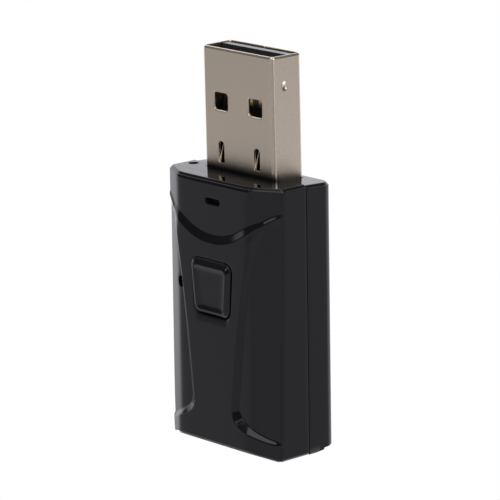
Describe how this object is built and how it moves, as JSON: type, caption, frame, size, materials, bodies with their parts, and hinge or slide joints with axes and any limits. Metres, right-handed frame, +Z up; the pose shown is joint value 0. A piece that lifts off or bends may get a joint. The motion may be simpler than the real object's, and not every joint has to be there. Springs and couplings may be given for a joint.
{
  "type": "bluetooth adapter",
  "caption": "Small glossy black plug-in audio adapter with a flat metal plug on top, a raised tapered front panel with one push button, and a slot for a status light.",
  "frame": {"origin": "on the underside, in the middle of the width, 5.7 mm in front of the back face", "axes": "+Z up along the plug, towards its open end; -Y towards the front with the button; +X to the right seen from the front"},
  "size_m": [0.0194, 0.0107, 0.0459],
  "materials": {
    "case_black": "high-gloss moulded black plastic",
    "button_black": "high-gloss moulded black plastic",
    "smoked_plastic": "dark smoked clear plastic",
    "plug_nickel": "satin nickel-plated folded sheet",
    "insulator_black": "matt black moulded insulator",
    "contact_gold": "thin gold plating",
    "board_green": "green solder-resist board",
    "chip_black": "matt black moulded package",
    "can_metal": "plain thin metal",
    "ceramic_white": "white ceramic",
    "ceramic_tan": "tan ceramic with dull ends",
    "plunger_plastic": "plain black plastic"
  },
  "bodies": {
    "case": {"front_shell": "case_black", "back_shell": "case_black", "light_guide": "smoked_plastic", "usb_shell": "plug_nickel", "usb_insulator": "insulator_black", "contact_ground": "contact_gold", "contact_data_plus": "contact_gold", "contact_data_minus": "contact_gold", "contact_power": "contact_gold", "circuit_board": "board_green", "bluetooth_chip": "chip_black", "memory_chip": "chip_black", "voltage_regulator": "chip_black", "crystal": "can_metal", "chip_antenna": "ceramic_white", "status_lamp": "ceramic_white", "microphone": "can_metal", "capacitors": "ceramic_tan", "resistors": "chip_black", "switch_base": "insulator_black", "switch_cover": "can_metal", "switch_dome": "can_metal"},
    "button": {"button_cap": "button_black", "switch_plunger": "plunger_plastic"}
  },
  "joints": [
    {"name": "button_press", "type": "slide", "parent": "case", "child": "button", "axis": [0, 1, 0], "range_m": [0, 0.00025], "stiffness_N_per_m": 1500}
  ]
}
